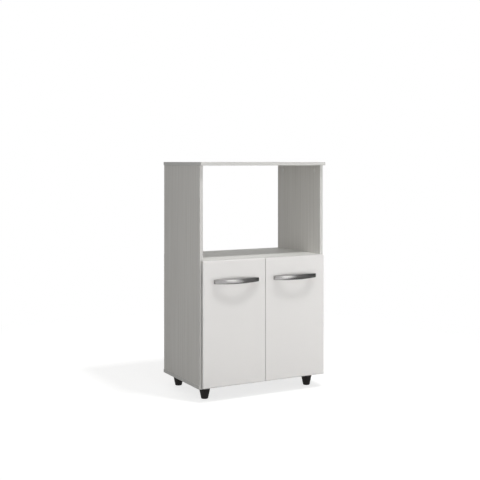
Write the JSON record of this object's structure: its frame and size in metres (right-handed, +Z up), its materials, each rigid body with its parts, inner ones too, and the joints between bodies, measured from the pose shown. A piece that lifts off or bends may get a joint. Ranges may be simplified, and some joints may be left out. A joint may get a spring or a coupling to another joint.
{
  "type": "kitchen storage cabinet",
  "caption": "White kitchen storage cabinet: an open niche above a cupboard with hinged doors, bow handles and small dark feet.",
  "frame": {"origin": "on the floor, under the middle of the whole object's box", "axes": "+Z up; the doors face -Y; +X to the right for a person who faces the doors"},
  "size_m": [0.606, 0.409, 0.983],
  "materials": {
    "board": "white laminate on particleboard, edges banded",
    "side_board": "white laminate on particleboard, faint grain",
    "door_board": "white lacquer, smooth, semi-gloss",
    "hardboard": "brown hardboard, matt",
    "steel": "bright zinc plating",
    "zinc": "die-cast zinc, dull",
    "nickel": "nickel plating, pressed steel",
    "white_plastic": "moulded, matt",
    "beech": "turned, dry",
    "foot": "moulded, dark brown-black, satin",
    "handle": "satin silver",
    "bumper": "soft clear pad"
  },
  "bodies": {
    "carcass": {"top_panel": "board", "base_panel": "board", "niche_shelf": "board", "inner_shelf": "board", "back_panel": "hardboard", "back_nails": "steel", "cam_locks": "zinc", "cam_bolts": "steel", "cam_covers": "white_plastic", "wood_dowels": "beech", "shelf_pins": "nickel", "foot_screws": "steel", "foot_front_left": "foot", "foot_front_right": "foot", "foot_back_left": "foot", "foot_back_right": "foot", "left_side_panel": "side_board", "left_hinge_arms": "nickel", "left_hinge_plates": "nickel", "left_arm_screws": "steel", "left_plate_screws": "steel", "right_side_panel": "side_board", "right_hinge_arms": "nickel", "right_hinge_plates": "nickel", "right_arm_screws": "steel", "right_plate_screws": "steel"},
    "left_leaf": {"left_door": "door_board", "left_handle": "handle", "left_handle_screws": "steel", "left_door_bumpers": "bumper", "left_hinge_cups": "nickel", "left_hinge_pins": "nickel", "left_cup_screws": "steel"},
    "right_leaf": {"right_door": "door_board", "right_handle": "handle", "right_handle_screws": "steel", "right_door_bumpers": "bumper", "right_hinge_cups": "nickel", "right_hinge_pins": "nickel", "right_cup_screws": "steel"}
  },
  "joints": [
    {"name": "left_door_hinge", "type": "hinge", "parent": "carcass", "child": "left_leaf", "pos_m": [-0.286, -0.1707, 0.3175], "axis": [0, 0, -1], "range_deg": [0, 95]},
    {"name": "right_door_hinge", "type": "hinge", "parent": "carcass", "child": "right_leaf", "pos_m": [0.286, -0.1707, 0.3175], "axis": [0, 0, 1], "range_deg": [0, 95]}
  ]
}
